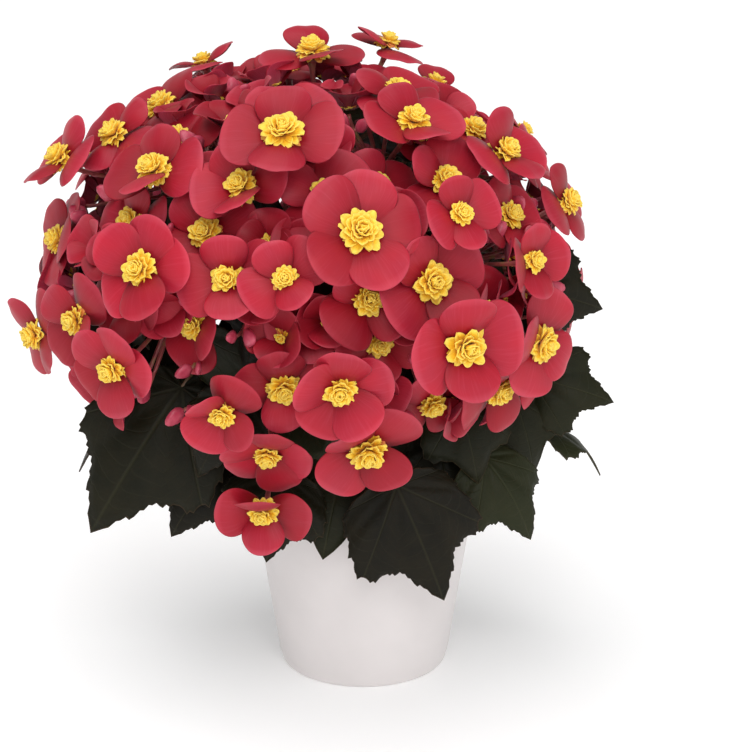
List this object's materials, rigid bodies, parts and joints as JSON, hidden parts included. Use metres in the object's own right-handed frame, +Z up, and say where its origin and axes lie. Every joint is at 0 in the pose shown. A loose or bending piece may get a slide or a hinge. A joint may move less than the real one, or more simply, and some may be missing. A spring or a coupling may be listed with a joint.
{
  "type": "potted begonia",
  "caption": "Flowering begonia in a plain tapered white pot, with a dome of red double flowers with yellow centres over dark toothed leaves.",
  "frame": {"origin": "centre of the pot's flat base, on the surface it stands on", "axes": "+Z up along the pot's axis, -Y towards the plant's show side, +X to the right as seen from there"},
  "size_m": [0.3404, 0.3272, 0.3759],
  "materials": {
    "pot": "smooth matt white glaze",
    "soil": "crumbly moist peat",
    "stem": "juicy, reddish brown green",
    "flower": "satin crimson petals with yellow centres",
    "leaf": "dark olive, soft sheen, fine veins"
  },
  "bodies": {
    "root": {"pot": "pot", "soil": "soil", "crown": "stem", "stem_1": "stem", "stem_2": "stem", "stem_3": "stem", "stem_4": "stem", "stem_5": "stem", "stem_6": "stem", "stem_7": "stem", "stem_8": "stem", "stem_9": "stem", "stem_10": "stem", "flower_truss_01": "flower", "flower_truss_02": "flower", "flower_truss_03": "flower", "flower_truss_04": "flower", "flower_truss_05": "flower", "flower_truss_06": "flower", "flower_truss_07": "flower", "flower_truss_08": "flower", "flower_truss_09": "flower", "flower_truss_10": "flower", "flower_truss_11": "flower", "flower_truss_12": "flower", "flower_truss_13": "flower", "flower_truss_14": "flower", "flower_truss_15": "flower", "flower_truss_16": "flower", "flower_truss_17": "flower", "flower_truss_18": "flower", "flower_truss_19": "flower", "flower_truss_20": "flower", "flower_truss_21": "flower", "flower_truss_22": "flower", "flower_truss_23": "flower", "flower_truss_24": "flower", "flower_truss_25": "flower", "flower_truss_26": "flower", "leaf_01": "leaf", "leaf_02": "leaf", "leaf_03": "leaf", "leaf_04": "leaf", "leaf_05": "leaf", "leaf_06": "leaf", "leaf_07": "leaf", "leaf_08": "leaf", "leaf_09": "leaf", "leaf_10": "leaf", "leaf_11": "leaf", "leaf_12": "leaf", "leaf_13": "leaf", "leaf_14": "leaf", "leaf_15": "leaf", "leaf_16": "leaf", "leaf_17": "leaf"}
  },
  "joints": []
}
